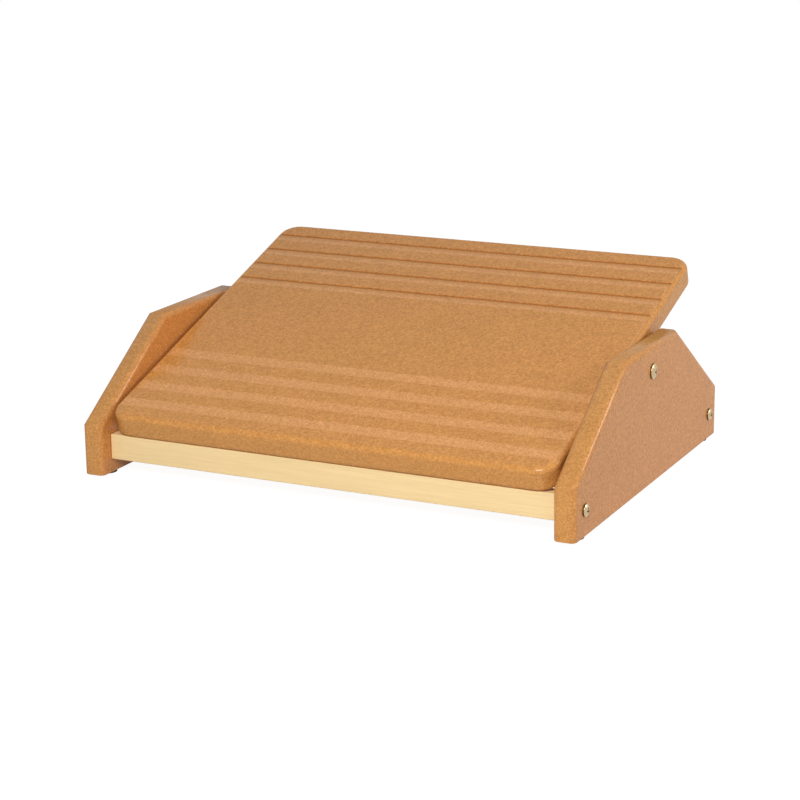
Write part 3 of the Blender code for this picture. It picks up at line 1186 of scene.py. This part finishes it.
class FOOTREST_OT_stage(bpy.types.Operator):
    """Sets up the white floor, the lights and the photograph's camera"""

    bl_idname = "footrest.stage"
    bl_label = "Studio"

    def execute(self, context):
        stage = context.scene.footrest_stage
        self.floor()
        self.world(context.scene, stage.fill)
        add_softbox("Key softbox", **KEY_LIGHT, power=stage.key_power)
        add_softbox("Side softbox", **SIDE_LIGHT, power=stage.side_power)
        self.camera(context.scene, stage)
        context.scene.view_settings.view_transform = "Standard"
        return {"FINISHED"}

    def floor(self):
        """A wide white floor that keeps a faint shadow of the footrest."""
        bm = bmesh.new()
        bmesh.ops.create_grid(bm, x_segments=1, y_segments=1, size=1.3)
        floor = mesh_object(bm, "floor")
        material, tree = new_material("White studio floor")
        # It lights the footrest as a pale floor does, but is seen close to white with a faint shadow.
        pale = add_node(tree, "BsdfDiffuse", {"Color": (0.8, 0.8, 0.8, 1)})
        shadow_catching = add_node(tree, "BsdfDiffuse", {"Color": (0.2, 0.2, 0.2, 1)})
        glow = add_node(tree, "Emission", {"Color": (1, 1, 1, 1), "Strength": 0.95})
        shown = add_node(tree, "AddShader", {0: shadow_catching.outputs[0], 1: glow.outputs[0]})
        surface = add_node(
            tree,
            "MixShader",
            {0: seen_directly(tree), 1: pale.outputs[0], 2: shown.outputs[0]},
        )
        add_node(tree, "OutputMaterial", {"Surface": surface.outputs[0]})
        floor.data.materials.append(material)

    def world(self, scene, fill):
        """White where it is seen, and a lower even light on the footrest."""
        world = bpy.data.worlds.new("White studio")
        world.use_nodes = True
        tree = world.node_tree
        tree.nodes.clear()
        strength = add_node(tree, "MapRange", {0: seen_directly(tree), 3: fill, 4: 1.0})
        light = add_node(tree, "Background", {"Color": (1, 1, 1, 1), "Strength": strength.outputs[0]})
        add_node(tree, "OutputWorld", {"Surface": light.outputs[0]})
        scene.world = world

    def camera(self, scene, stage):
        """The camera of the photograph, worked out from the edges and corners of the footrest in it."""
        data = bpy.data.cameras.new("Photo camera")
        data.lens = stage.lens
        data.sensor_width = 36
        camera = bpy.data.objects.new("Photo camera", data)
        turn = Matrix.Rotation(stage.azimuth, 4, "Z") @ Matrix.Rotation(math.pi / 2 - stage.elevation, 4, "X")
        roll = Matrix.Rotation(stage.roll, 4, "Z")
        back = Matrix.Translation((0, 0, stage.distance))
        camera.matrix_world = Matrix.Translation(stage.target) @ turn @ roll @ back
        scene.collection.objects.link(camera)
        scene.camera = camera


STEPS = (
    FOOTREST_OT_side_panels,
    FOOTREST_OT_tread_board,
    FOOTREST_OT_stretchers,
    FOOTREST_OT_feet,
    FOOTREST_OT_stretcher_screws,
    FOOTREST_OT_pivot_screws,
    FOOTREST_OT_pivot_bushes,
    FOOTREST_OT_threaded_inserts,
    FOOTREST_OT_stage,
)


class FOOTREST_PT_build(bpy.types.Panel):
    """Lists the steps and what they can be set to"""

    bl_idname = "FOOTREST_PT_build"
    bl_label = "Footrest"
    bl_space_type = "VIEW_3D"
    bl_region_type = "UI"
    bl_category = "Footrest"

    def draw(self, context):
        for step in STEPS:
            self.layout.operator(step.bl_idname)
        scene = context.scene
        for group in (scene.footrest_sizes, scene.footrest_colours, scene.footrest_stage):
            box = self.layout.box()
            for name in group.__annotations__:
                box.prop(group, name)


CLASSES = (FootrestSizes, FootrestColours, FootrestStage, *STEPS, FOOTREST_PT_build)


def register():
    """Makes the classes known and hangs the settings on the scene."""
    for cls in CLASSES:
        bpy.utils.register_class(cls)
    bpy.types.Scene.footrest_sizes = PointerProperty(type=FootrestSizes)
    bpy.types.Scene.footrest_colours = PointerProperty(type=FootrestColours)
    bpy.types.Scene.footrest_stage = PointerProperty(type=FootrestStage)


def unregister():
    """Takes the settings and the classes away again."""
    del bpy.types.Scene.footrest_stage
    del bpy.types.Scene.footrest_colours
    del bpy.types.Scene.footrest_sizes
    for cls in reversed(CLASSES):
        bpy.utils.unregister_class(cls)


def main():
    """Builds everything."""
    register()
    for step in STEPS:
        family, name = step.bl_idname.split(".")
        getattr(getattr(bpy.ops, family), name)()


if __name__ == "__main__":
    main()
